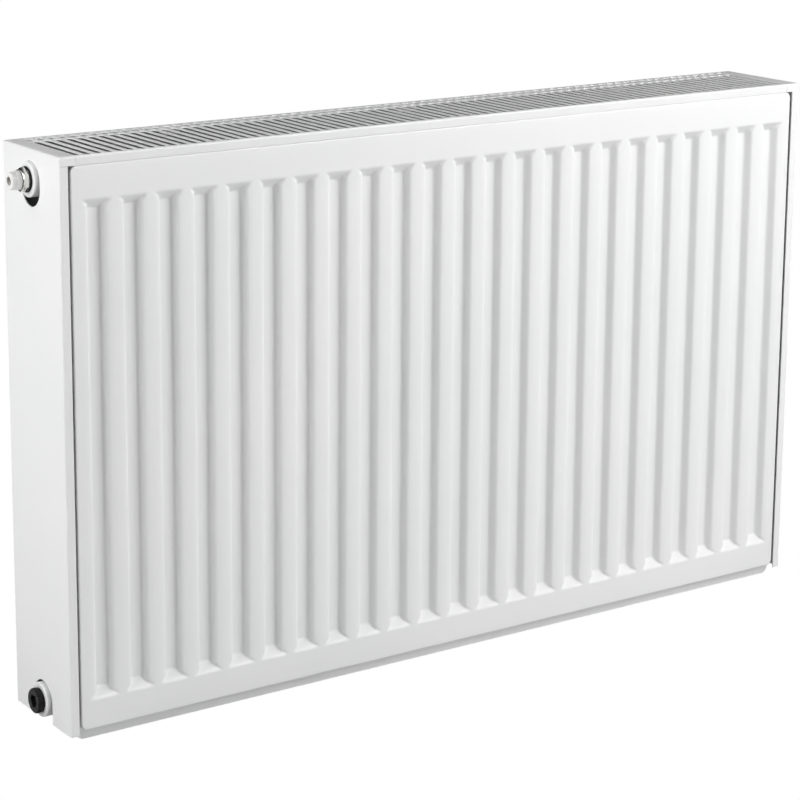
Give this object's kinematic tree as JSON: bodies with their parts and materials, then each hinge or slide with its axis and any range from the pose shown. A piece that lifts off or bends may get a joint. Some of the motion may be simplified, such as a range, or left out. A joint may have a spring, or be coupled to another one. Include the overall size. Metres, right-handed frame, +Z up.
{
  "type": "panel radiator",
  "caption": "Steel panel radiator with two grooved water panels, folded convectors between them, side covers, a slotted top grille, an air vent and a blank plug.",
  "frame": {"origin": "on the floor under the middle of the whole object, vent and lugs included", "axes": "+X along the radiator towards its open ports, +Y towards the wall side with the lugs, +Z up"},
  "size_m": [0.823, 0.109, 0.5],
  "materials": {
    "paint": "satin white powder coat",
    "primer": "thin grey primer on the sheets inside",
    "nickel": "bright nickel plate",
    "brass": "turned and tarnished",
    "spout_plastic": "moulded, semi-gloss",
    "clip_plastic": "moulded, matt",
    "plug_plastic": "moulded, satin black",
    "rubber": "matt black"
  },
  "bodies": {
    "root": {"front_outer_sheet": "paint", "front_inner_sheet": "primer", "rear_inner_sheet": "primer", "rear_outer_sheet": "paint", "front_convector": "primer", "rear_convector": "primer", "top_left_tee": "paint", "bottom_left_tee": "paint", "top_right_tee": "paint", "bottom_right_tee": "paint", "top_left_lug": "paint", "bottom_left_lug": "paint", "top_right_lug": "paint", "bottom_right_lug": "paint", "grille_clips": "clip_plastic", "vent_body": "nickel", "vent_seal": "rubber", "spout_seal": "rubber", "blank_plug": "plug_plastic", "blank_plug_seal": "rubber"},
    "grille": {"top_grille": "paint"},
    "left_cover": {"left_side_cover": "paint"},
    "right_cover": {"right_side_cover": "paint"},
    "spout": {"vent_spout": "spout_plastic"},
    "bleed_tip": {"bleed_tip": "brass"},
    "bleed_screw": {"bleed_screw": "brass"}
  },
  "joints": [
    {"name": "grille_lift", "type": "slide", "parent": "root", "child": "grille", "axis": [0, 0, 1], "range_m": [0, 0.03]},
    {"name": "left_cover_lift", "type": "slide", "parent": "root", "child": "left_cover", "axis": [0, 0, 1], "range_m": [0, 0.007]},
    {"name": "right_cover_lift", "type": "slide", "parent": "root", "child": "right_cover", "axis": [0, 0, 1], "range_m": [0, 0.007]},
    {"name": "spout_swivel", "type": "hinge", "parent": "root", "child": "spout", "pos_m": [-0.40705, -0.0035, 0.475], "axis": [-1, 0, 0], "continuous": true},
    {"name": "bleed_lift", "type": "slide", "parent": "root", "child": "bleed_tip", "axis": [-1, 0, 0], "range_m": [0, 0.001]},
    {"name": "bleed_turn", "type": "hinge", "parent": "bleed_tip", "child": "bleed_screw", "pos_m": [-0.40455, -0.0035, 0.475], "axis": [-1, 0, 0], "range_deg": [0, 360]}
  ],
  "couplings": [
    {"joint": "bleed_turn", "follows": "bleed_lift", "rad_per_m": 6283.2}
  ]
}
